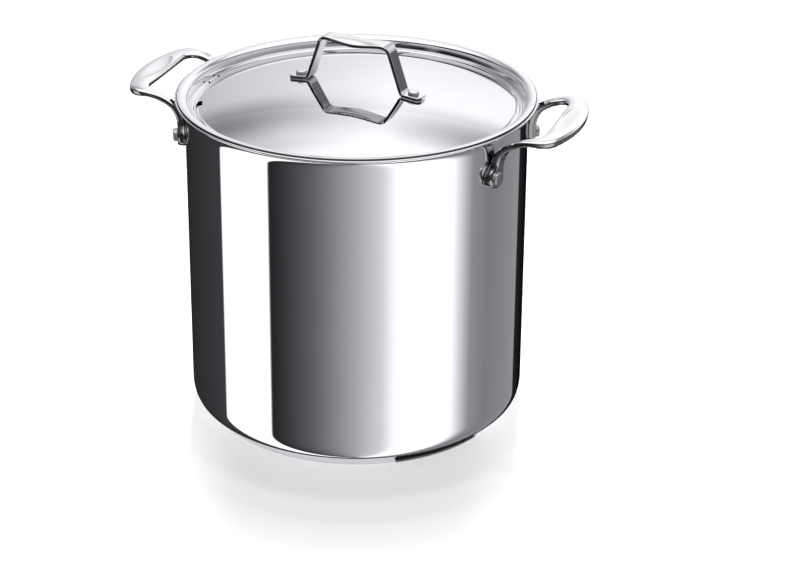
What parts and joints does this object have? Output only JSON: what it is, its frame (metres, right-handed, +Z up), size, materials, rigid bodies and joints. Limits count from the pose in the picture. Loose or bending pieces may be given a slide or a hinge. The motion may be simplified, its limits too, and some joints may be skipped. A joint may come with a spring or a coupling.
{
  "type": "water bath canner",
  "caption": "Tall round stainless pot with a disc base, cast loop side handles, a domed lid with an arched strap handle, and a round wire jar rack with folding handles inside.",
  "frame": {"origin": "centre of the base's underside, on the surface the pot stands on", "axes": "+Z up along the pot's axis, +X through the right-hand side handle, +Y away from the cook"},
  "size_m": [0.381, 0.296, 0.3226],
  "materials": {
    "pot_steel": "mirror polished stainless steel",
    "lid_steel": "mirror polished stainless steel",
    "handle_steel": "polished cast stainless steel",
    "rivet_steel": "satin stainless steel",
    "base_steel": "circular brushed stainless steel",
    "core_aluminium": "plain rolled aluminium",
    "rack_wire": "drawn stainless wire"
  },
  "bodies": {
    "pot": {"pot_shell": "pot_steel", "base_core": "core_aluminium", "base_cap": "base_steel", "side_handle_left": "handle_steel", "side_handle_right": "handle_steel", "side_handle_left_rivets": "rivet_steel", "side_handle_right_rivets": "rivet_steel"},
    "lid": {"lid_shell": "lid_steel", "lid_handle": "handle_steel", "lid_handle_rivets": "rivet_steel"},
    "rack": {"rack_outer_ring": "rack_wire", "rack_middle_ring": "rack_wire", "rack_inner_ring": "rack_wire", "rack_spokes": "rack_wire", "rack_feet": "rack_wire", "rack_hinge_eyes": "rack_wire"},
    "left_rack_handle": {"rack_handle_left": "rack_wire"},
    "right_rack_handle": {"rack_handle_right": "rack_wire"}
  },
  "joints": [
    {"name": "lid_lift", "type": "slide", "parent": "pot", "child": "lid", "axis": [0, 0, 1], "range_m": [0, 0.25]},
    {"name": "rack_lift", "type": "slide", "parent": "pot", "child": "rack", "axis": [0, 0, 1], "range_m": [0, 0.024]},
    {"name": "rack_handle_left_fold", "type": "hinge", "parent": "rack", "child": "left_rack_handle", "pos_m": [-0.11433, 0, 0.0352], "axis": [0, 1, 0], "range_deg": [0, 80]},
    {"name": "rack_handle_right_fold", "type": "hinge", "parent": "rack", "child": "right_rack_handle", "pos_m": [0.11667, 0, 0.0352], "axis": [0, -1, 0], "range_deg": [0, 80]}
  ]
}
